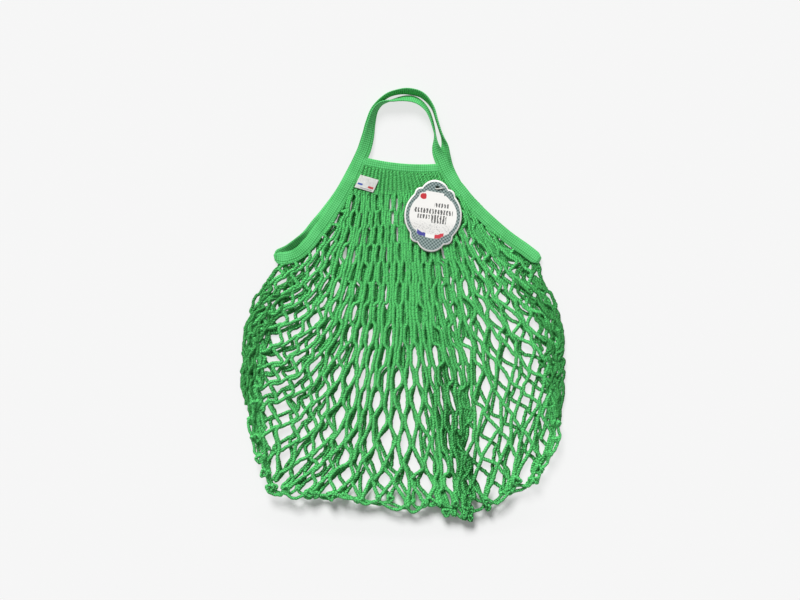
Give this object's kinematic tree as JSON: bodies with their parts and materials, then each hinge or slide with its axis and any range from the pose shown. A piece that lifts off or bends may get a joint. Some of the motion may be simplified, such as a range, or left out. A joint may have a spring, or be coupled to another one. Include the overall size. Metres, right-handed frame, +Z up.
{
  "type": "string bag",
  "caption": "Empty knitted cotton net shopping bag with ribbed top panel, tape handles, woven label and card tag, lying flat with its label side up.",
  "frame": {"origin": "on the floor, under the middle of the lying bag's outline", "axes": "+Z up from the floor through the flat bag, +Y from the bag's bottom towards its handles, +X to the right seen from the label side"},
  "size_m": [0.3622, 0.4712, 0.0149],
  "materials": {
    "green_net": "matt knitted cotton string",
    "green_tape": "matt ribbed cotton tape",
    "white_label": "woven satin ribbon",
    "tag_card": "printed uncoated card",
    "white_thread": "twisted cotton thread"
  },
  "bodies": {
    "root": {"net_front": "green_net", "net_back": "green_net", "rib_panel_front": "green_net", "rib_panel_back": "green_net", "top_band_front": "green_tape", "top_band_back": "green_tape", "side_tape_left": "green_tape", "side_tape_right": "green_tape", "handle_front": "green_tape", "handle_back": "green_tape", "woven_label": "white_label", "care_label": "white_label", "hang_tag": "tag_card", "tag_tie": "white_thread"}
  },
  "joints": []
}
